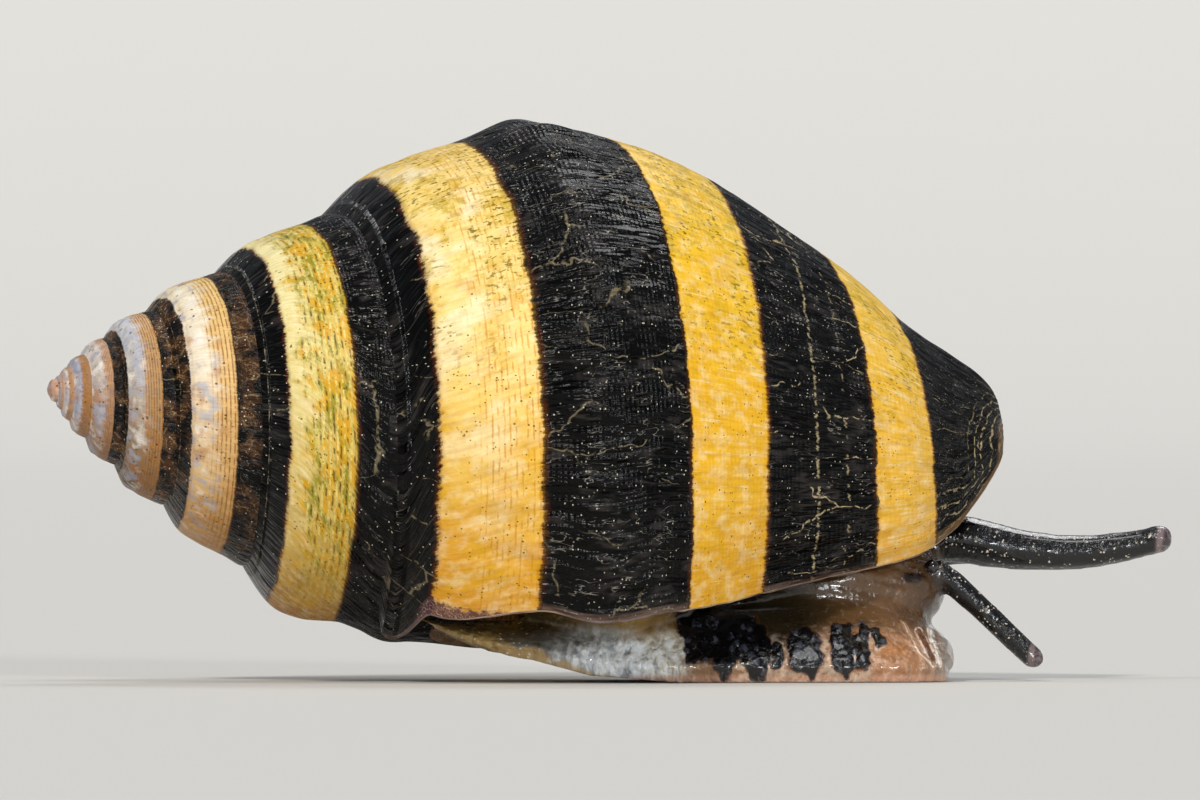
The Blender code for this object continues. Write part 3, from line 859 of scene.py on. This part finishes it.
    colour = blend(paleMask, dark, pale)
    colour = over(colour, hue["margin"], paleMask, fringe, 0.5, mode="MULTIPLY")
    fromLip = total(shell["lipTurn"], product(rows, -1), product(fine, 0.006), -0.003)
    wedge = total(fromLip, product(total(length, -6.5), 0.010), product(tiny, 0.008), -0.004)
    chipped = product(between(wedge, 0.0135, 0.0105), band(length, 6.45, 7.9, 0.15))
    cracks = edges(pushed(spot, patch), 11, 0.02, 0.14)
    chips = over(hue["chip"], hue["crack"], cracks, between(tiny, 0.38, 0.56), 0.8)
    fromEnd = total(lastPoint, product(length, -1), product(between(rows, 0.25, 0), 1.5))
    fromEdge = maths("MINIMUM", product(fromLip, 19), fromEnd)
    leaves = maths("SINE", total(product(fromEdge, 24), product(patch, 9)))
    leaves = product(
        between(leaves, 0.80, 0.97), between(fromEdge, 1.5, 0.7), between(length, 15.9, 16.9),
        between(tiny, 0.42, 0.54)
    )
    frontRim = product(between(fromEdge, 0.26, 0.12), between(length, 15.9, 16.9))
    colour = layered(colour, hue,
        ("lipBrown", between(fromLip, 0.0045, 0.001), darkMask, 0.6),
        (chips, chipped, 0.9),
        ("leaf", leaves, 0.9),
        ("rim", frontRim, 0.8),
    )

    # relief in mm: growth wrinkles across, spiral threads along, finest grain
    shiny = product(band(length, 6.18, 6.62, 0.08), young)
    keep = opposite(product(shiny, 0.7))
    height = total(
        product(wrinkle, darkMask, keep, 0.36),
        product(wrinkle, 0.016),
        product(fine, darkMask, keep, 0.025),
        product(finer, darkMask, keep, streaks(0.40, 0.62, 22, 1.2), 0.0040),
        product(finer, 0.0008),
        product(coarse, threadSide, early, 0.012),
        product(patch, 0.040),
        product(tiny, early, 0.045),
        product(glintRidge, darkMask, 0.008),
    )
    rough = total(0.17, product(paleMask, 0.16), product(patch, 0.14), product(shiny, -0.10))
    finishPaint(shader, colour, product(height, size), 1, rough, {"Specular IOR Level": 0.15})
    return material


lipTints = dict(
    rim=(                       # mm along the profile
        (6.0, (96, 78, 56)), (6.5, (150, 120, 112)), (7.4, (214, 180, 156)),
        (8.3, (206, 166, 128)), (8.8, (146, 124, 118)), (10.6, (152, 128, 118)),
        (11.1, (232, 196, 142)), (12.7, (214, 180, 142)), (13.2, (156, 134, 122)),
        (14.8, (176, 150, 128)), (15.3, (236, 196, 142)), (16.4, (220, 184, 138)),
        (17.2, (160, 128, 108)), (18.4, (178, 138, 104)), (19.1, (196, 136, 86)),
    ),
    inside=(                    # from the rim inwards
        (0.0, (200, 160, 130)), (1.05, (150, 112, 96)), (1.3, (96, 66, 62)), (2.0, (60, 40, 44)),
    ),
    layer=(62, 44, 42),
)


def lipPaint():
    material, shader = startPaint("lipPaint")
    edge, across, length = (attribute(name) for name in ("edge", "across", "along"))
    place = objectMm()
    layers = grain(vector(product(edge, 0.7), product(across, 9)), 1, 3, 0.6)
    patch = grain(place, 2.6, 3, 0.6)
    rimColour = ramp(total(length, product(patch, 1.2), -0.6), 6, 19.1, lipTints["rim"])
    rimColour = over(rimColour, lipTints["layer"], between(layers, 0.44, 0.62), 0.8)
    inside = ramp(across, 0, 2, lipTints["inside"])
    colour = blend(between(across, 0.85, 1.05), rimColour, inside)
    rough = total(0.24, product(patch, 0.25))
    gloss = {"Coat Weight": 0.25, "Coat Roughness": 0.15}
    finishPaint(shader, colour, total(product(layers, 1.4), patch), 0.04, rough, gloss)
    return material


# the soft body: one skin grown from the frame's own solids

flesh = dict(
    nodes=(
        "foot_tail", "foot_sole", "foot_front", "body_column", "head", "siphon", "tentacle_right",
        "tentacle_left"
    ),
    feelers=("siphon", "tentacle_right", "tentacle_left"),
    grow=0.035,        # mm, to close the cuts between the solids
    voxel=0.056,
    smoothFoot=26,     # passes
    smoothFeelers=5,
    shrink=0.045,
    shrinkFeelers=0.02,
    shrinkTentacles=0.045,   # once more
    headCut=(6.2, 0, 3.0),
    feelersFrom=(6.0, 0.35),
    feelerReach=0.22,
    # x and z of the solids' sole, and of the skin's, which lifts at the tail
    solidSole=((-3.66, 1.06), (-3.25, 0.62), (-2.70, 0.30), (-2.10, 0.0), (1.3, 0.0)),
    raisedSole=(
        (-3.66, 1.22), (-3.11, 0.89), (-2.50, 0.64), (-1.49, 0.46), (-0.41, 0.14), (1.25, 0.0),
    ),
    fingers=(          # dark fingers on the foot's side: x, half width, from z, to z
        (1.64, 0.36, 0.40, 1.60), (2.16, 0.24, 0.12, 1.20), (2.30, 0.55, 0.45, 1.35),
        (2.69, 0.25, 0.12, 1.15), (3.12, 0.12, 0.22, 0.78), (3.61, 0.37, 0.15, 1.02),
        (4.33, 0.24, 0.18, 1.19), (4.69, 0.14, 0.20, 1.18), (4.98, 0.11, 0.70, 1.09),
    ),
    furrows=(          # grooves behind the front lobe: x and z of their ends, and how deep
        (((5.72, 1.00), (6.05, 0.33)), 0.8), (((5.94, 1.12), (6.14, 0.28)), 1.0),
    ),
    strokes=(          # lines there: ends, half width, colour, colour of the rims; the first is painted shade down the main furrow, its pale rims painted highlights
        (((5.76, 0.95), (6.04, 0.37)), 0.040, (88, 44, 12), (240, 222, 200)),
        (((5.96, 1.05), (6.14, 0.34)), 0.018, (214, 210, 204), (232, 226, 216)),
        (((5.46, 1.12), (5.68, 0.68)), 0.008, (236, 208, 180), (196, 152, 118)),
        (((5.68, 0.68), (6.04, 0.28)), 0.010, (244, 224, 200), (196, 152, 118)),
    ),
)


folds = dict(          # heights in mm
    fingers=0.05, knobs=0.035,   # of the dark fingers and the knobs on them
    pearl=0.055, tail=0.035, front=0.05, neck=0.05,
    furrow=0.12, furrowWidth=0.065,
)
skinTints = dict(
    foot=(                       # along the foot, from the tail to the front
        (-3.8, (62, 54, 36)), (-2.3, (78, 68, 46)), (-1.4, (120, 116, 106)),
        (-0.7, (186, 190, 190)), (0.4, (222, 226, 226)), (1.1, (214, 206, 186)),
        (1.8, (146, 112, 78)), (3.6, (166, 126, 98)), (4.8, (164, 118, 82)),
        (5.5, (160, 112, 74)), (5.95, (150, 116, 90)), (6.25, (140, 132, 122)),
    ),
    upper=(                      # and above its side, its olive and ochre darkened as painted shade under the shell's lip
        (-3.0, (70, 56, 30)), (-1.2, (76, 62, 32)), (0.5, (168, 132, 62)), (1.4, (92, 70, 38)),
        (2.2, (40, 30, 18)), (3.2, (56, 44, 22)), (4.2, (92, 66, 38)), (5.2, (110, 80, 52)),
        (5.8, (80, 54, 30)), (6.6, (62, 40, 22)),
    ),
    pearl=(240, 243, 243), slate=(118, 128, 136), peach=(214, 172, 140), orange=(184, 120, 60),
    rimLine=(198, 152, 126), goldEdge=(190, 156, 92), light=(224, 214, 196), shade=(84, 60, 36),
    tailSpeck=(226, 216, 196), furrow=(112, 72, 40), blot=(20, 12, 6), behind=(40, 32, 18),
    gap=(204, 184, 162), rust=(84, 44, 18), ink=(5, 5, 7), inkHighlight=(84, 88, 100),
    feeler=(4, 4, 5), speck=(226, 214, 190), fineSpeck=(216, 208, 190),
    clearTip=(136, 118, 118), tipRing=(34, 26, 34),
)


def grownCopies():
    # copies of the soft solids, in millimetres and a little larger
    whole = bmesh.new()
    for name in flesh["nodes"]:
        bm = opened(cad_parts[name].data)
        bmesh.ops.remove_doubles(bm, verts=bm.verts, dist=1e-7)
        bmesh.ops.scale(bm, vec=(1000, 1000, 1000), verts=bm.verts)
        if name == "head":
            # nothing shows in front of the shell's open end
            geom = bm.verts[:] + bm.edges[:] + bm.faces[:]
            cut = dict(plane_co=flesh["headCut"], plane_no=(1, 0, 1), clear_outer=True)
            bmesh.ops.bisect_plane(bm, geom=geom, **cut)
            bmesh.ops.holes_fill(bm, edges=[e for e in bm.edges if e.is_boundary], sides=0)
        bmesh.ops.recalc_face_normals(bm, faces=bm.faces)
        bm.normal_update()
        for vert in bm.verts:
            vert.co += vert.normal * flesh["grow"]
        part = stored(bm, bpy.data.meshes.new(name + "Copy"))
        whole.from_mesh(part)
        bpy.data.meshes.remove(part)
    return stored(whole, bpy.data.meshes.new("skin"))


def remeshed(mesh):
    worker = newObject("worker", mesh)
    modifier = worker.modifiers.new("voxels", "REMESH")
    modifier.mode = "VOXEL"
    modifier.voxel_size = flesh["voxel"]
    bpy.context.view_layer.update()
    result = bpy.data.meshes.new_from_object(
        worker.evaluated_get(bpy.context.evaluated_depsgraph_get())
    )
    bpy.data.objects.remove(worker)
    return result


def onFeelers(point, names):
    # how much a point belongs to the siphon or a tentacle
    result = np.zeros(len(point))
    trees = []
    for name in names:
        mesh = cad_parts[name].data
        corners = [v.co / mm for v in mesh.vertices]
        trees.append(BVHTree.FromPolygons(corners, [tuple(f.vertices) for f in mesh.polygons]))
    start, fade = flesh["feelersFrom"]
    for n in np.flatnonzero(point[:, 0] > start):
        apart = min(near.find_nearest(Vector(point[n]))[3] for near in trees)
        result[n] = 1 - apart / flesh["feelerReach"]
    return smooth(result * 2) * rise(point[:, 0], start, fade)


def fingerMark(x, z):
    # above 0.5 on the dark fingers of the foot's side
    x, z = (
        at + coarse * uneven(x * 3.2, z * 3.2, seed) + fine * uneven(x * 8, z * 8, seed + 1)
        for at, coarse, fine, seed in ((x, 0.05, 0.03, 22), (z, 0.07, 0.04, 24))
    )
    mark = np.zeros(len(x))
    for at, half, low, high in flesh["fingers"]:
        shift = 0.06 * patches(z * 4, np.full(len(x), at * 7), 13)
        wide = half * (0.90 + 0.18 * patches(z * 6, np.full(len(x), at * 3), 12))
        side = np.abs(x - at + shift) / wide
        middle, reach = (low + high) / 2, (high - low) / 2
        tall = np.abs(z - middle + 0.05 * patches(x * 9, x * 0, 19)) / reach
        mark = np.maximum(mark, 1 - 0.5 * (side ** 3 + tall ** 4) ** (1 / 3))
    return mark


def offLine(x, z, line):
    # distance in mm to a straight line between two points
    (xa, za), (xb, zb) = line
    dx, dz = xb - xa, zb - za
    t = np.clip(((x - xa) * dx + (z - za) * dz) / (dx * dx + dz * dz), 0, 1)
    return np.hypot(x - xa - t * dx, z - za - t * dz)


def offStroke(point, line):
    # the same in shader nodes, for a point whose y is 0
    (xa, za), (xb, zb) = line
    start, reach = (xa, 0, za), (xb - xa, 0, zb - za)
    ahead = vectorMaths("DOT_PRODUCT", vectorMaths("SUBTRACT", point, start)[0], reach)["Value"]
    share = maths("DIVIDE", ahead, reach[0] ** 2 + reach[2] ** 2, clamp=True)
    nearest = vectorMaths("MULTIPLY_ADD", vector(share, share, share), reach, start)[0]
    return vectorMaths("DISTANCE", point, nearest)["Value"]


def sculptedSkin(point, normal, feeler, thin):
    # moves the smoothed skin to its last place; returns the dark marks too
    x, y, z = point.T
    side = smooth((np.abs(normal[:, 1]) - 0.25) / 0.4)   # the foot's flanks
    mark = fingerMark(x, z) * (1 - feeler)
    low = 1 - rise(z, 1.15, 0.35)
    push = -flesh["shrink"] * (1 - feeler) - flesh["shrinkFeelers"] * feeler
    push -= flesh["shrinkTentacles"] * thin
    fingers = rise(x, 1.2, 0.4) * (1 - rise(x, 4.9, 0.3))
    push += side * low * folds["fingers"] * (rise(mark, 0.35, 0.3) - 0.5) * fingers
    pearl = rise(x, -1.9, 0.9) * (1 - rise(x, 1.2, 0.5)) * low * side
    wander = 1.4 * patches(x * 3, z * 3, 15)
    push += pearl * folds["pearl"] * uneven(x * 7 + wander, z * 3.4 + x * 2, 14)
    tail = (1 - rise(x, -1.8, 1.0)) * low
    push += tail * folds["tail"] * uneven(x * 7, z * 9, 16)
    groove = np.zeros(len(x))
    for line, depth in flesh["furrows"]:
        away = offLine(x, z, line) / folds["furrowWidth"]
        groove = np.maximum(groove, depth * np.exp(-(away ** 2)))
    groove *= (1 - feeler) * side
    push -= folds["furrow"] * groove
    push += mark * side * low * folds["knobs"] * uneven(x * 8, z * 8, 27)
    front = rise(x, 4.9, 0.6) * (1 - feeler)
    push += front * folds["front"] * uneven(x * 5 + z * 2.5, z * 5 - x * 1.5 + y * 1.5, 17)
    neck = rise(z, 1.2, 0.3) * (1 - feeler) * (1 - rise(x, 5.8, 0.3))
    push += neck * folds["neck"] * uneven(x * 1.2, (z + y * 0.6) * 6, 18)
    point = point + normal * push[:, None]
    solid = np.interp(x, *zip(*flesh["solidSole"]))
    raised = np.interp(x, *zip(*flesh["raisedSole"]))
    top = 1.2   # above it the foot keeps its place
    part = np.clip((top - point[:, 2]) / (top - solid), 0, 1.1) * (x < 1.3)
    flat = rise(-normal[:, 2], 0.4, 0.3) * (1 - rise(point[:, 2], 0.12, 0.08)) * rise(x, -2.6, 0.8)
    point[:, 2] *= 1 - 0.9 * flat
    point[:, 2] = np.maximum(point[:, 2], 0.001) + part * (raised - solid)
    return point, mark * side, groove


def makeSkin():
    mesh = remeshed(grownCopies())
    bm = opened(mesh)
    verts = list(bm.verts)
    # all but the feelers
    thick = [v for v in verts if not (v.co.x > 6.2 and v.co.z + 0.9 * v.co.x > 7.21)]
    for chosen, passes in ((verts, flesh["smoothFeelers"]), (thick, flesh["smoothFoot"])):
        for _ in range(passes):
            bmesh.ops.smooth_vert(
                bm, verts=chosen, factor=0.5, use_axis_x=True, use_axis_y=True, use_axis_z=True
            )
    bm.normal_update()
    stored(bm, mesh)
    point = readVectors(mesh.vertices, "co").astype(float)
    normal = readVectors(mesh.vertices, "normal")
    feeler = onFeelers(point, flesh["feelers"])
    thin = onFeelers(point, flesh["feelers"][1:])
    point, mark, groove = sculptedSkin(point, normal, feeler, thin)
    mesh.vertices.foreach_set("co", (point * mm).astype(np.float32).ravel())
    tips = np.zeros(len(point))
    for name in flesh["feelers"]:
        end = max(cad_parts[name].data.vertices, key=lambda v: v.co.x).co / mm
        apart = np.linalg.norm(point - np.array(end), axis=1)
        tips = np.maximum(tips, 1 - rise(apart, 0.26, 0.20))
    values = dict(feeler=feeler, mark=mark, tip=tips * feeler, groove=groove)
    for key, value in values.items():
        layer = mesh.attributes.new(key, "FLOAT", "POINT")
        layer.data.foreach_set("value", value.astype(np.float32))
    mesh.update()
    return newObject("skin", mesh)


def skinPaint():
    material, shader = startPaint("skinPaint")
    hue = skinTints
    place = objectMm()
    x, _, z = newNode("SeparateXYZ", place).outputs
    feeler, mark, tip, groove = (attribute(name) for name in ("feeler", "mark", "tip", "groove"))
    fold = grain(place, 2.2, 3, 0.6)
    mottle = grain(place, 7, 3, 0.65)
    streak = grain(scaled(place, (7, 7, 2.2)), 1, 2, 0.6)   # upright streaks
    pillow = between(cells(scaled(place, (5.2, 5.2, 2.8)), 1)["Distance"], 0.65, 0.05)
    shifted = total(x, product(fold, 1.2), -0.6)
    foot = ramp(shifted, -3.8, 7, hue["foot"])
    upper = ramp(shifted, -3, 7, hue["upper"])
    wavyZ = total(z, product(fold, 0.5), -0.25)
    # above the side, the upper colours with their painted shade under the shell's lip
    colour = blend(between(wavyZ, 0.72, 1.12), foot, upper)
    pearl = product(band(shifted, -1, 1.5, 0.8), between(wavyZ, 1, 0.7))
    warm = product(between(shifted, 3.4, 4.8), between(wavyZ, 1.1, 0.8))
    rimLine = product(between(z, 0.20, 0.08), between(x, -0.4, 0.8))
    sideZ = total(wavyZ, product(x, 0.34))   # keeps level with the raised tail
    goldEdge = product(between(x, 1.2, -0.6), between(sideZ, 0.16, 0.04))
    # painted glints: pale specks that stand for the wet tail's glistening highlights
    glintsOnTail = product(dots(place, 8, 0.24, 0.55), between(x, -0.8, -2))
    colour = layered(colour, hue,
        ("pearl", pearl, between(streak, 0.50, 0.58), 0.8),
        ("slate", pearl, between(streak, 0.46, 0.38), 0.6),
        ("peach", warm, between(streak, 0.50, 0.70), 0.35),
        ("orange", warm, between(fold, 0.48, 0.68), 0.5),
        ("rimLine", rimLine, 0.75),
        ("goldEdge", goldEdge, 0.7),
        ("light", between(mottle, 0.54, 0.72), 0.15),
        ("shade", between(mottle, 0.46, 0.30), 0.22),
        ("tailSpeck", glintsOnTail, 0.8),
        # painted shade in the furrows
        ("furrow", between(groove, 0.3, 0.9), 0.35),
    )
    bentPlace = vector(
        total(x, product(fold, 0.16), -0.08), 0, total(z, product(mottle, 0.06), -0.03)
    )
    # the first stroke paints shade down the main furrow and highlights along its rims
    for line, width, lineTint, rimTint in flesh["strokes"]:
        apart = offStroke(bentPlace, line)
        mask = product(between(apart, width + 0.014, width - 0.006), opposite(feeler))
        colour = over(
            colour, rimTint, band(apart, width + 0.015, width + 0.04, 0.03),
            between(mottle, 0.36, 0.52), 0.75
        )
        colour = over(colour, lineTint, mask, 0.85)
    blotX, blotZ = total(x, product(fold, 0.3), -5.84), total(z, product(mottle, 0.1), -2)
    blot = total(product(blotX, blotX, 22), product(blotZ, blotZ, 70))
    nearX, nearZ = total(x, -6.16), total(z, -2)
    blot = maths("MINIMUM", blot, total(product(nearX, nearX, 38), product(nearZ, nearZ, 12)))
    # painted shadow of the shell's lip: dark olive over the flesh above the dark fingers
    behind = product(band(x, 1.5, 3.9, 0.5, 1.2), between(wavyZ, 0.42, 0.80), 0.9)
    gaps = product(
        band(x, 2.3, 5, 0.3), between(wavyZ, 0.95, 0.70), between(mottle, 0.40, 0.56),
        between(mark, 0, 0.3), 0.6
    )
    edge = total(mark, product(mottle, 0.22), product(streak, 0.14), -0.18)
    colour = layered(colour, hue,
        ("blot", between(blot, 1.3, 0.3), opposite(feeler), 0.9),
        ("behind", behind),
        ("gap", gaps),
        ("rust", between(edge, 0.42, 0.48), 0.7),
    )
    # the dark fingers' black, with painted bluish highlights where the pillow bumps and mottle
    # rise
    ink = over(
        hue["ink"], hue["inkHighlight"], between(total(mottle, product(pillow, 0.3)), 0.62, 0.80), 0.45
    )
    colour = over(colour, ink, between(edge, 0.46, 0.52))

    # siphon and tentacles: black with cream specks and clear ends
    uneasy = pushed(place, product(mottle, 0.22))   # makes the specks irregular
    dark = over(hue["feeler"], hue["speck"], dots(uneasy, 6, 0.20, 0.36), 0.9)
    some = between(fold, 0.45, 0.52)
    dark = over(dark, hue["fineSpeck"], dots(uneasy, 12, 0.28, 0.55), some, 0.9)
    dark = over(dark, hue["clearTip"], between(tip, 0.05, 0.45), 0.75)
    dark = over(dark, hue["tipRing"], between(tip, 0.75, 1), between(mottle, 0.62, 0.42), 0.8)
    colour = over(colour, dark, feeler)
    low = between(wavyZ, 1.35, 0.95)
    height = total(
        product(fold, 0.07), product(streak, low, 0.035), product(mottle, low, 0.03),
        product(mottle, 0.010), product(mottle, feeler, 0.03), product(pillow, low, 0.045),
    )
    height = product(height, opposite(product(feeler, 0.30)))
    finishPaint(shader, colour, height, 1, total(0.14, product(mottle, 0.20)), {
        "Specular IOR Level": 0.4, "Coat Weight": 0.5, "Coat Roughness": 0.05,
        "Sheen Weight": 0.12, "Sheen Roughness": 0.3, "Subsurface Weight": 0.22,
        "Subsurface Radius": (1, 0.55, 0.35), "Subsurface Scale": 0.25 * mm,
    })
    return material


eyes = dict(size=0.42, tints=((4, 4, 6), (26, 18, 14)))   # radius as a share of the node's height


def makeEyes():
    material, shader = startPaint("eyePaint")
    place = objectMm()
    colour = blend(between(grain(place, 14, 3), 0.4, 0.7), *eyes["tints"])
    gloss = {"Coat Weight": 1, "Coat Roughness": 0.03}
    finishPaint(shader, colour, grain(place, 20, 2), 0.006, 0.08, gloss)
    for node, name in (("eye_right", "eyeRight"), ("eye_left", "eyeLeft")):
        low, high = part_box(node)
        bm = bmesh.new()
        bmesh.ops.create_icosphere(bm, subdivisions=4, radius=(high.z - low.z) * eyes["size"])
        bmesh.ops.translate(bm, vec=(low + high) / 2, verts=bm.verts)
        mesh = stored(bm, bpy.data.meshes.new(name))
        finishPiece(newObject(name, mesh), material, (node,))


horn = dict(
    centre=(-3.4, -1.4, 0.9),   # mm; the plate's rings go round it
    ring=((92, 60, 34), (134, 96, 60)),
    pale=(160, 128, 96),
)


def hornPaint():
    material, shader = startPaint("hornPaint")
    place = objectMm()
    ringed = vectorMaths("SUBTRACT", place, horn["centre"])[0]
    rings = newNode(
        "TexWave", ringed, 4.5, 1.5, wave_type="RINGS", rings_direction="SPHERICAL"
    ).outputs["Fac"]
    patch = grain(place, 4, 3)
    colour = blend(between(rings, 0.2, 0.8), *horn["ring"])
    colour = over(colour, horn["pale"], between(patch, 0.45, 0.7))
    rough = total(0.3, product(patch, 0.2))
    finishPaint(shader, colour, total(rings, patch), 0.012, rough, {"Coat Weight": 0.3})
    return material


def makeFloor():
    radius, height = studio["floorRadius"], studio["floorRise"]
    bm = bmesh.new()
    profile = [(0, 0), (radius * 0.6, 0)]
    for n in range(1, 13):
        bend = math.radians(75 * n / 12)
        profile.append((radius * (0.6 + 0.4 * math.sin(bend)), height * (1 - math.cos(bend))))
    verts = [bm.verts.new((x, 0, z)) for x, z in profile]
    edges = [bm.edges.new(pair) for pair in zip(verts, verts[1:])]
    bmesh.ops.spin(
        bm, geom=verts + edges, cent=(0, 0, 0), axis=(0, 0, 1), angle=2 * math.pi, steps=96,
        use_merge=True
    )
    bmesh.ops.remove_doubles(bm, verts=bm.verts, dist=1e-5)
    bmesh.ops.recalc_face_normals(bm, faces=bm.faces)
    if sum(face.normal.z for face in bm.faces) < 0:
        bmesh.ops.reverse_faces(bm, faces=bm.faces)
    mesh = stored(bm, bpy.data.meshes.new("studioFloor"))
    mesh.shade_smooth()
    material, shader = startPaint("floorPaint")
    feed(shader.inputs["Base Color"], tint(studio["floorColour"]))
    feed(shader.inputs["Roughness"], 0.8)
    mesh.materials.append(material)
    newObject("studioFloor", mesh)


makeCamera()
makeLamps()
makeFloor()
print("camera, lamps and floor set")

paint = shellPaint()
finishPiece(bodyWhorl("shellBody"), paint, ("shell_body_whorl",), fromAxis)
spire = coiledStrip("shellSpire", shell["tipTurn"], shell["bodyTurn"], shell["rowsPerTurn"], 40)
finishPiece(spire, paint, ("shell_spire_lower", "shell_spire_middle"), fromAxis)
worn = coiledStrip("shellTip", shell["firstTurn"], shell["tipTurn"], 320, 26)
closeTip(worn)
finishPiece(worn, paint, ("shell_spire_upper", "shell_apex"), fromAxis)
finishPiece(mouthEdge("shellLip"), lipPaint(), ("shell_outer_lip",))
finishPiece(makeSkin(), skinPaint(), flesh["nodes"])
makeEyes()
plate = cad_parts["operculum"]
plate.data.materials.clear()
plate.data.materials.append(hornPaint())
print("operculum painted")
